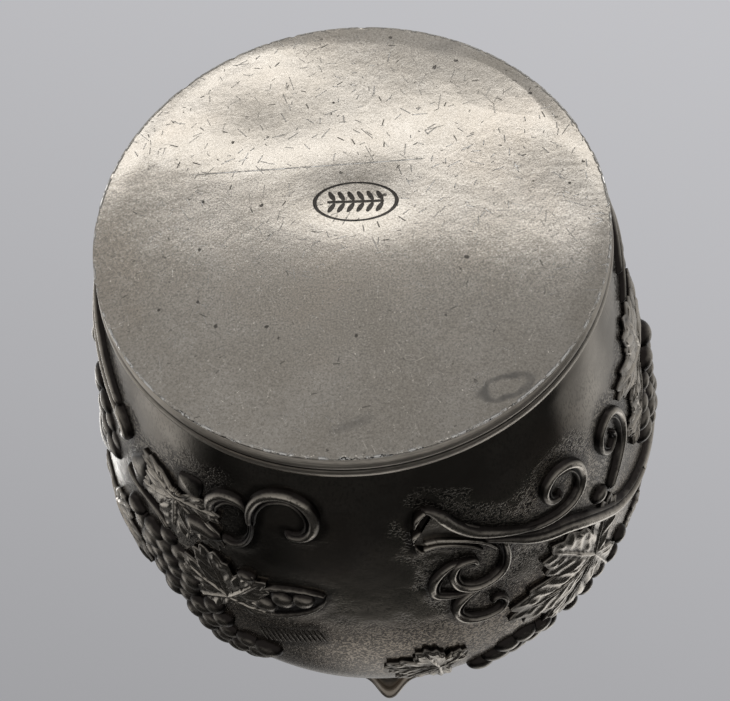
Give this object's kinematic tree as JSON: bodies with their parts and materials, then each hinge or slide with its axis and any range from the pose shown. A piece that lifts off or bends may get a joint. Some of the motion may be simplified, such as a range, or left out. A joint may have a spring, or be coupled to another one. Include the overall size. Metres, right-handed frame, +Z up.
{
  "type": "pewter tankard",
  "caption": "Pot-bellied pewter tankard with a flat base, grapevine relief around the belly, a small pouring lip and a branch handle.",
  "frame": {"origin": "centre of the flat underside of the base", "axes": "+Z up along the body axis to the mouth, -Y towards the pouring lip, +Y towards the handle"},
  "size_m": [0.112, 0.1506, 0.122],
  "materials": {
    "base_pewter": "worn satin pewter, scratched and pitted",
    "wall_pewter": "burnished to matted pewter with a dark patina",
    "trim_pewter": "satin pewter",
    "handle_pewter": "satin pewter, dark in the hollows",
    "relief_pewter": "rubbed bright on the high points, black patina in the hollows"
  },
  "bodies": {
    "root": {"base_plate": "base_pewter", "body_half_left": "wall_pewter", "body_half_right": "wall_pewter", "foot_ring": "trim_pewter", "grapes_front_left": "relief_pewter", "grapes_front_right": "relief_pewter", "grapes_handle_left": "relief_pewter", "grapes_handle_right": "relief_pewter", "grapes_low_left": "relief_pewter", "grapes_low_right": "relief_pewter", "grapes_middle_left": "relief_pewter", "grapes_middle_right": "relief_pewter", "grapes_rear_left": "relief_pewter", "grapes_rear_right": "relief_pewter", "grapes_side_left": "relief_pewter", "grapes_side_right": "relief_pewter", "handle_branch": "handle_pewter", "handle_leaf_lower": "handle_pewter", "handle_leaf_upper": "handle_pewter", "leaf_front_left": "relief_pewter", "leaf_front_right": "relief_pewter", "leaf_high_left": "relief_pewter", "leaf_high_right": "relief_pewter", "leaf_lip_left": "relief_pewter", "leaf_lip_right": "relief_pewter", "leaf_low_left": "relief_pewter", "leaf_low_right": "relief_pewter", "leaf_pod_left": "relief_pewter", "leaf_pod_right": "relief_pewter", "leaf_rear_left": "relief_pewter", "leaf_rear_right": "relief_pewter", "leaf_side_left": "relief_pewter", "leaf_side_right": "relief_pewter", "leaf_top_left": "relief_pewter", "leaf_top_right": "relief_pewter", "neck_collar": "trim_pewter", "pouring_lip": "trim_pewter", "rim_band": "trim_pewter", "scroll_large_left": "relief_pewter", "scroll_large_right": "relief_pewter", "scroll_small_left": "relief_pewter", "scroll_small_right": "relief_pewter", "tendril_hanging_left": "relief_pewter", "tendril_hanging_right": "relief_pewter", "tendril_loop_left": "relief_pewter", "tendril_loop_right": "relief_pewter", "tendril_low_left": "relief_pewter", "tendril_low_right": "relief_pewter", "tendril_scroll_left": "relief_pewter", "tendril_scroll_right": "relief_pewter", "tendril_side_left": "relief_pewter", "tendril_side_right": "relief_pewter", "vine_branch_left": "relief_pewter", "vine_branch_right": "relief_pewter", "vine_stems_left": "relief_pewter", "vine_stems_right": "relief_pewter"}
  },
  "joints": []
}
